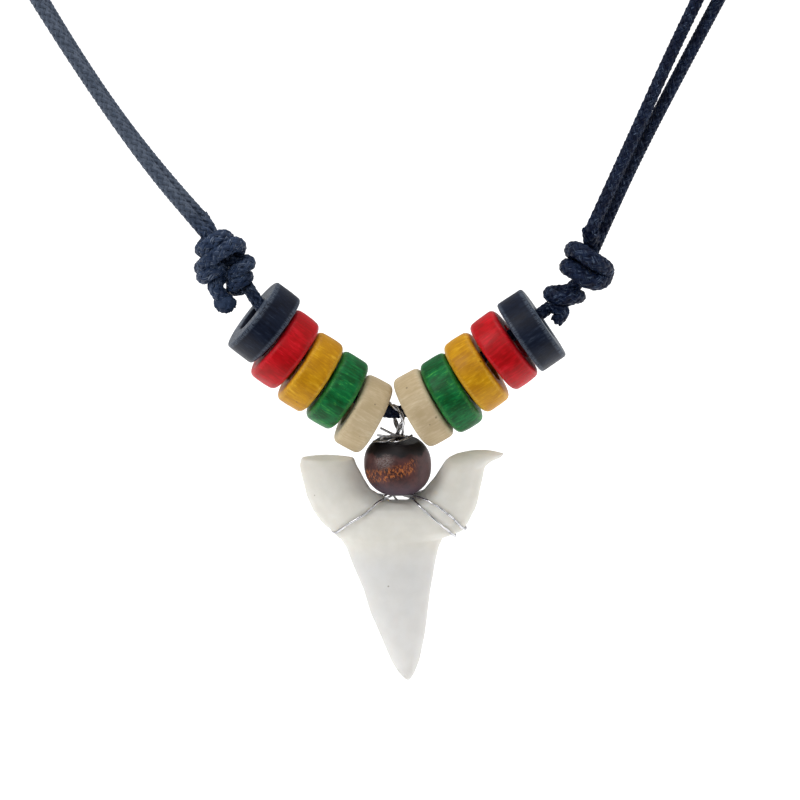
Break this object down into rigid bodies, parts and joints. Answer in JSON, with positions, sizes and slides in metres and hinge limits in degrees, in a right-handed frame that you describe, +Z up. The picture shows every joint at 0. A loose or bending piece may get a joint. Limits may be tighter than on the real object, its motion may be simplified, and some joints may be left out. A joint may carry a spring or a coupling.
{
  "type": "shark tooth necklace",
  "caption": "Necklace of coloured wooden discs on a waxed cord with sliding knots, and a wired shark tooth pendant hung under a dark wooden ball.",
  "frame": {"origin": "where the pair of cord strands rests on the nape, at the top of the loop", "axes": "+Z up, with the pendant hanging down -Z; +X to the right seen from the front; the front faces -Y, and the nape lies behind the beads"},
  "size_m": [0.1061, 0.0191, 0.1836],
  "materials": {
    "cord": "waxed braid, slate blue to near black",
    "black_wood": "stained black, worn grey at the end faces",
    "red_wood": "stained crimson, satin",
    "yellow_wood": "stained ochre, satin",
    "green_wood": "stained deep green, satin",
    "natural_wood": "plain, satin",
    "dark_wood": "dark brown, polished",
    "steel_wire": "bright drawn wire",
    "cast_tooth": "off-white cast resin, satin"
  },
  "bodies": {
    "necklace": {"neck_cord_front": "cord", "neck_cord_back": "cord", "bead_thread": "cord", "left_sliding_knot": "cord", "right_sliding_knot": "cord", "left_stopper_knot": "cord", "right_stopper_knot": "cord", "left_black_bead": "black_wood", "left_red_bead": "red_wood", "left_yellow_bead": "yellow_wood", "left_green_bead": "green_wood", "left_natural_bead": "natural_wood", "right_black_bead": "black_wood", "right_red_bead": "red_wood", "right_yellow_bead": "yellow_wood", "right_green_bead": "green_wood", "right_natural_bead": "natural_wood"},
    "pendant": {"ball_bead": "dark_wood", "pendant_wire": "steel_wire", "shark_tooth": "cast_tooth"}
  },
  "joints": [
    {"name": "pendant_swing", "type": "hinge", "parent": "necklace", "child": "pendant", "pos_m": [0.0001, -0.012, -0.1455], "axis": [1, 0, 0], "range_deg": [-30, 30]}
  ]
}
